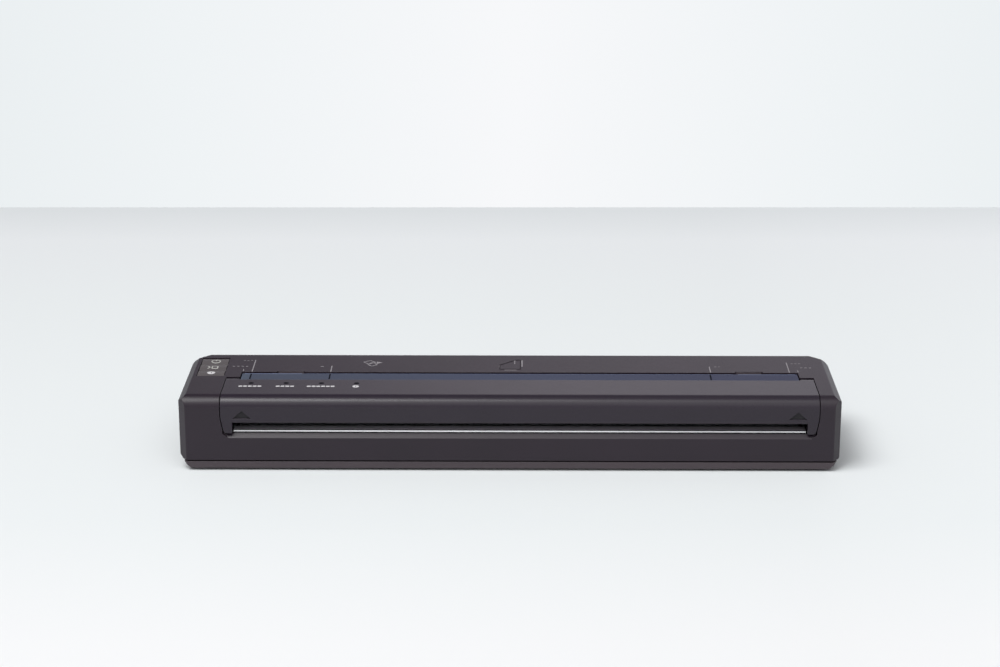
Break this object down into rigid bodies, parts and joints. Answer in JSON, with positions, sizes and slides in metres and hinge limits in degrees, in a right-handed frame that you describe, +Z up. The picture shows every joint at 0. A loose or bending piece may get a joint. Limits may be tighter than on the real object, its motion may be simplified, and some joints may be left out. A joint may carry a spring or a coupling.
{
  "type": "portable thermal printer",
  "caption": "Slim portable A4 thermal printer: hinged release cover over a driven platen and a sprung print head, rear feed slot, front exit slot, side keys and a rear battery door.",
  "frame": {"origin": "middle of the printer's length and depth, on the surface that it stands on", "axes": "+X along the printer to the right as the user faces the exit slot, +Y to the rear, +Z up"},
  "size_m": [0.255, 0.055, 0.03],
  "materials": {
    "housing_plastic": "fine-textured dark grey moulded plastic",
    "cover_plastic": "fine-textured dark grey moulded plastic",
    "strip_plastic": "smooth navy moulded plastic",
    "key_plastic": "satin grey moulded plastic",
    "foot_rubber": "matt black rubber",
    "platen_rubber": "ground black rubber",
    "frame_steel": "zinc-plated sheet steel",
    "shaft_steel": "turned bright steel",
    "screw_steel": "plated screw steel",
    "tear_steel": "bright stainless strip",
    "sink_aluminium": "extruded aluminium",
    "ceramic": "glazed ceramic substrate",
    "board_green": "glass-fibre circuit board with green mask",
    "chip_black": "black moulded component",
    "shield_metal": "tin-plated shield can",
    "guide_plastic": "black moulded plastic",
    "gear_plastic": "natural acetal",
    "bush_bronze": "sintered bronze",
    "spring_steel": "spring wire",
    "motor_steel": "plated motor can",
    "lens_plastic": "smoked clear plastic",
    "cable_film": "polyimide film",
    "battery_plastic": "dark moulded pack shell",
    "contact_gold": "gold-plated spring bronze"
  },
  "bodies": {
    "chassis": {"top_housing": "housing_plastic", "bottom_cover": "housing_plastic", "rubber_feet": "foot_rubber", "case_screws": "screw_steel", "base_frame": "frame_steel", "frame_screws": "screw_steel", "left_side_plate": "frame_steel", "right_side_plate": "frame_steel", "tear_bar": "tear_steel", "exit_guide": "guide_plastic", "paper_sensor": "chip_black", "feed_guide": "guide_plastic", "cover_switch": "chip_black", "platen_bushes": "bush_bronze", "gear_axles": "shaft_steel", "stepper_motor": "motor_steel", "motor_screws": "screw_steel", "cover_hinge_pins": "shaft_steel", "head_pivot_shaft": "shaft_steel", "head_springs": "spring_steel", "main_board": "board_green", "board_standoffs": "shaft_steel", "board_screws": "screw_steel", "board_parts": "chip_black", "wireless_module": "shield_metal", "data_socket": "shield_metal", "key_board": "board_green", "key_board_screws": "screw_steel", "key_switches": "chip_black", "battery_pack": "battery_plastic", "battery_tray": "guide_plastic", "battery_contacts": "contact_gold"},
    "cover": {"release_cover": "cover_plastic", "feed_strip": "strip_plastic", "led_lenses": "lens_plastic", "led_board": "board_green"},
    "print_head": {"heat_sink": "sink_aluminium", "heater_strip": "ceramic", "head_driver_board": "board_green", "head_bracket": "frame_steel", "head_cable": "cable_film"},
    "platen": {"platen_shaft": "shaft_steel", "platen_rubber": "platen_rubber", "platen_clip": "spring_steel", "platen_gear": "gear_plastic"},
    "idler": {"idler_gear": "gear_plastic"},
    "compound": {"compound_gear": "gear_plastic"},
    "rotor": {"motor_rotor": "shaft_steel", "motor_pinion": "bush_bronze"},
    "door": {"battery_door": "housing_plastic"},
    "power": {"power_key": "key_plastic", "power_plunger": "guide_plastic"},
    "feed": {"feed_key": "key_plastic", "feed_plunger": "guide_plastic"},
    "wireless": {"wireless_key": "key_plastic", "wireless_plunger": "guide_plastic"}
  },
  "joints": [
    {"name": "cover_hinge", "type": "hinge", "parent": "chassis", "child": "cover", "pos_m": [0.0038, -0.0058, 0.0256], "axis": [-1, 0, 0], "range_deg": [0, 60]},
    {"name": "head_release", "type": "hinge", "parent": "chassis", "child": "print_head", "pos_m": [0.0038, 0.003, 0.0105], "axis": [1, 0, 0], "range_deg": [0, 4], "deforming": ["head_springs"]},
    {"name": "platen_spin", "type": "hinge", "parent": "chassis", "child": "platen", "pos_m": [0.0038, -0.011, 0.022], "axis": [1, 0, 0], "continuous": true},
    {"name": "idler_spin", "type": "hinge", "parent": "chassis", "child": "idler", "pos_m": [-0.115, -0.00368, 0.01595], "axis": [1, 0, 0], "continuous": true},
    {"name": "compound_spin", "type": "hinge", "parent": "chassis", "child": "compound", "pos_m": [-0.116, 0.0047, 0.0145], "axis": [1, 0, 0], "continuous": true},
    {"name": "motor_spin", "type": "hinge", "parent": "chassis", "child": "rotor", "pos_m": [-0.11, 0.0157, 0.0145], "axis": [1, 0, 0], "continuous": true},
    {"name": "battery_door_hinge", "type": "hinge", "parent": "chassis", "child": "door", "pos_m": [0.054, 0.0266, 0.0073], "axis": [-1, 0, 0], "range_deg": [0, 90]},
    {"name": "power_press", "type": "slide", "parent": "chassis", "child": "power", "axis": [0, 0, -1], "range_m": [0, 0.0005], "stiffness_N_per_m": 300, "springref_m": -0.0005},
    {"name": "feed_press", "type": "slide", "parent": "chassis", "child": "feed", "axis": [0, 0, -1], "range_m": [0, 0.0005], "stiffness_N_per_m": 300, "springref_m": -0.0005},
    {"name": "wireless_press", "type": "slide", "parent": "chassis", "child": "wireless", "axis": [0, 0, -1], "range_m": [0, 0.0005], "stiffness_N_per_m": 300, "springref_m": -0.0005}
  ],
  "couplings": [
    {"joint": "head_release", "follows": "cover_hinge", "ratio": 0.0666},
    {"joint": "idler_spin", "follows": "platen_spin", "ratio": -0.9},
    {"joint": "compound_spin", "follows": "platen_spin", "ratio": 1.2857},
    {"joint": "motor_spin", "follows": "platen_spin", "ratio": -3.4286}
  ]
}
